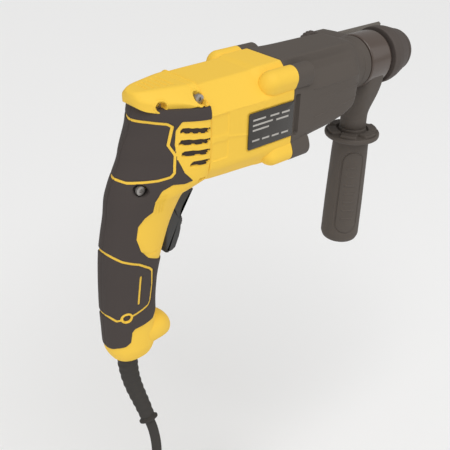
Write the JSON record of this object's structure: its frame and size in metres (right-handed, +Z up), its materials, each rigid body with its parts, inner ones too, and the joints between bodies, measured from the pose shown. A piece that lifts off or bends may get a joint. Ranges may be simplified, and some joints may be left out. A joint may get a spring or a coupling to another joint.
{
  "type": "rotary hammer",
  "caption": "corded rotary hammer with pistol grip, gear housing, quick-change chuck, clamped side handle and depth rod, for drilling and chiselling masonry",
  "frame": {"origin": "the middle of the main grip, where a hand holds the tool", "axes": "+X runs forward along the spindle to the chuck, +Y to the user's left, +Z up; the tool is held level with its handles down"},
  "size_m": [0.417, 0.1658, 0.4854],
  "materials": {
    "yellow_plastic": "fine-grained moulded plastic",
    "rubber_black": "soft overmoulded rubber",
    "housing_dark": "fine-grained dark moulded plastic",
    "clamp_dark": "satin dark plastic",
    "chuck_black": "satin dark plastic",
    "rod_steel": "blackened steel",
    "plate_black": "printed film",
    "screw_steel": "zinc plated",
    "steel": "ground",
    "alloy": "die cast",
    "lamination": "stacked sheet",
    "copper": "enamelled wire",
    "brass": "pressed",
    "graphite": "carbon",
    "switch_plastic": "moulded",
    "seal_rubber": "moulded",
    "cord_rubber": "matt",
    "tie_plastic": "strip"
  },
  "bodies": {
    "housing": {"motor_housing": "yellow_plastic", "handle_shell_right": "yellow_plastic", "handle_shell_left": "yellow_plastic", "grip_rubber_right": "rubber_black", "grip_rubber_left": "rubber_black", "gear_housing": "housing_dark", "rating_plate": "plate_black", "front_screws": "screw_steel", "handle_screws": "screw_steel", "bearing_flange": "alloy", "stator_core": "lamination", "field_coils": "copper", "front_motor_bearing": "steel", "rear_motor_bearing": "steel", "brush_holders": "brass", "carbon_brushes": "graphite", "intermediate_bearings": "steel", "spindle_bearing": "steel", "spindle_seal": "seal_rubber", "spindle_needle_bearing": "steel", "switch_body": "switch_plastic", "cord_sleeve": "cord_rubber", "cord_clamp": "switch_plastic", "cord_lead": "cord_rubber", "cord_coil": "cord_rubber", "coil_tie": "tie_plastic", "cord_tail": "cord_rubber", "plug": "cord_rubber", "plug_pins": "screw_steel"},
    "motor_rotor": {"armature": "steel", "armature_winding": "copper", "commutator": "copper", "cooling_fan": "switch_plastic"},
    "intermediate_train": {"intermediate_shaft": "steel", "intermediate_gear": "steel"},
    "wobble_drive": {"wobble_ring": "steel"},
    "spindle_group": {"spindle": "steel", "spindle_gear": "steel", "dust_cap": "chuck_black", "locking_balls": "steel"},
    "sliding_sleeve": {"chuck_sleeve": "chuck_black"},
    "piston_body": {"piston": "alloy"},
    "striker_body": {"striker": "steel", "striker_ring": "seal_rubber"},
    "impact_body": {"impact_bolt": "steel"},
    "side_handle": {"clamp_band": "clamp_dark", "clamp_saddle": "housing_dark", "rod_lug": "housing_dark", "tie_bolt": "screw_steel"},
    "side_grip_body": {"side_grip": "housing_dark"},
    "depth_rod_body": {"depth_rod": "rod_steel"},
    "rod_lock": {"rod_lock_screw": "chuck_black"},
    "trigger_body": {"trigger": "switch_plastic"},
    "speed_dial_body": {"speed_dial": "switch_plastic"},
    "reverse_body": {"reversing_lever": "switch_plastic"},
    "lock_button_body": {"lock_on_button": "switch_plastic"},
    "knob_body": {"mode_knob": "chuck_black"},
    "knob_button_body": {"mode_release_button": "yellow_plastic"}
  },
  "joints": [
    {"name": "spindle_turn", "type": "hinge", "parent": "housing", "child": "spindle_group", "pos_m": [0.24, 0, 0.12], "axis": [1, 0, 0], "continuous": true},
    {"name": "intermediate_turn", "type": "hinge", "parent": "housing", "child": "intermediate_train", "pos_m": [0.19, 0, 0.095], "axis": [1, 0, 0], "continuous": true},
    {"name": "motor_turn", "type": "hinge", "parent": "housing", "child": "motor_rotor", "pos_m": [0.1, 0, 0.1138], "axis": [1, 0, 0], "continuous": true},
    {"name": "wobble_tilt", "type": "hinge", "parent": "housing", "child": "wobble_drive", "pos_m": [0.173, 0, 0.095], "axis": [0, 1, 0], "range_deg": [-12, 12]},
    {"name": "piston_stroke", "type": "slide", "parent": "housing", "child": "piston_body", "axis": [1, 0, 0], "range_m": [-0.0052, 0.0052]},
    {"name": "striker_stroke", "type": "slide", "parent": "spindle_group", "child": "striker_body", "axis": [1, 0, 0], "range_m": [-0.006, 0.003]},
    {"name": "impact_stroke", "type": "slide", "parent": "spindle_group", "child": "impact_body", "axis": [1, 0, 0], "range_m": [-0.001, 0.003]},
    {"name": "sleeve_slide", "type": "slide", "parent": "spindle_group", "child": "sliding_sleeve", "axis": [1, 0, 0], "range_m": [-0.007, 0], "stiffness_N_per_m": 1500, "springref_m": 0.001},
    {"name": "side_handle_turn", "type": "hinge", "parent": "housing", "child": "side_handle", "pos_m": [0.277, 0, 0.12], "axis": [1, 0, 0], "continuous": true},
    {"name": "side_grip_screw", "type": "hinge", "parent": "side_handle", "child": "side_grip_body", "pos_m": [0.277, 0, 0], "axis": [0, 0, 1], "range_deg": [0, 720]},
    {"name": "depth_rod_slide", "type": "slide", "parent": "side_handle", "child": "depth_rod_body", "axis": [1, 0, 0], "range_m": [-0.02, 0.06]},
    {"name": "rod_lock_turn", "type": "hinge", "parent": "side_handle", "child": "rod_lock", "pos_m": [0.277, 0.058, 0.126], "axis": [0, 1, 0], "range_deg": [0, 180]},
    {"name": "trigger_pull", "type": "slide", "parent": "housing", "child": "trigger_body", "axis": [-1, 0, 0], "range_m": [0, 0.005], "stiffness_N_per_m": 900, "springref_m": -0.002},
    {"name": "speed_dial_turn", "type": "hinge", "parent": "trigger_body", "child": "speed_dial_body", "pos_m": [0.0475, 0, 0.025], "axis": [0, 1, 0], "range_deg": [0, 270]},
    {"name": "reverse_lever_turn", "type": "hinge", "parent": "housing", "child": "reverse_body", "pos_m": [0.036, 0, 0.061], "axis": [0, 0, 1], "range_deg": [-10, 10]},
    {"name": "lock_button_press", "type": "slide", "parent": "housing", "child": "lock_button_body", "axis": [0, -1, 0], "range_m": [0, 0.0025], "stiffness_N_per_m": 500, "springref_m": -0.001},
    {"name": "mode_knob_turn", "type": "hinge", "parent": "housing", "child": "knob_body", "pos_m": [0.248, 0.04, 0.126], "axis": [0, 1, 0], "range_deg": [-90, 90]},
    {"name": "mode_button_press", "type": "slide", "parent": "knob_body", "child": "knob_button_body", "axis": [0, -1, 0], "range_m": [0, 0.0018], "stiffness_N_per_m": 500, "springref_m": -0.001}
  ],
  "couplings": [
    {"joint": "intermediate_turn", "follows": "spindle_turn", "ratio": -4},
    {"joint": "motor_turn", "follows": "spindle_turn", "ratio": 22.857},
    {"joint": "wobble_tilt", "follows": "piston_stroke", "rad_per_m": 40}
  ]
}
